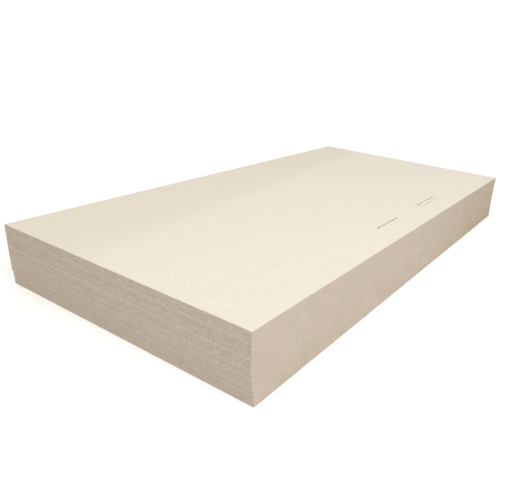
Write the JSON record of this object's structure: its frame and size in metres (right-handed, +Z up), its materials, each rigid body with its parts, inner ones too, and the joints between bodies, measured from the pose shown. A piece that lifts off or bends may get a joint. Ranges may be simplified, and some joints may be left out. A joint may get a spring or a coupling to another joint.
{
  "type": "stack of fiber cement boards",
  "caption": "Low rectangular stack of large, thin, cream fiber cement boards lying face to face, sheet stock to be cut and screwed on as wall, ceiling or floor lining.",
  "frame": {"origin": "middle of the lowest board's underside, on the floor", "axes": "+X along the boards' long side, +Y across them, +Z up through the stack"},
  "size_m": [2.4449, 1.2332, 0.2476],
  "materials": {
    "fiber_cement": "matte, smooth pressed faces and rougher sawn edges"
  },
  "bodies": {
    "root": {"board_01": "fiber_cement", "board_02": "fiber_cement", "board_03": "fiber_cement", "board_04": "fiber_cement", "board_05": "fiber_cement", "board_06": "fiber_cement", "board_07": "fiber_cement", "board_08": "fiber_cement", "board_09": "fiber_cement", "board_10": "fiber_cement", "board_11": "fiber_cement", "board_12": "fiber_cement", "board_13": "fiber_cement", "board_14": "fiber_cement", "board_15": "fiber_cement", "board_16": "fiber_cement", "board_17": "fiber_cement", "board_18": "fiber_cement", "board_19": "fiber_cement", "board_20": "fiber_cement", "board_21": "fiber_cement", "board_22": "fiber_cement", "board_23": "fiber_cement", "board_24": "fiber_cement", "board_25": "fiber_cement", "board_26": "fiber_cement", "board_27": "fiber_cement", "board_28": "fiber_cement", "board_29": "fiber_cement", "board_30": "fiber_cement", "board_31": "fiber_cement", "board_32": "fiber_cement", "board_33": "fiber_cement", "board_34": "fiber_cement", "board_35": "fiber_cement", "board_36": "fiber_cement", "board_37": "fiber_cement", "board_38": "fiber_cement", "board_39": "fiber_cement"}
  },
  "joints": []
}
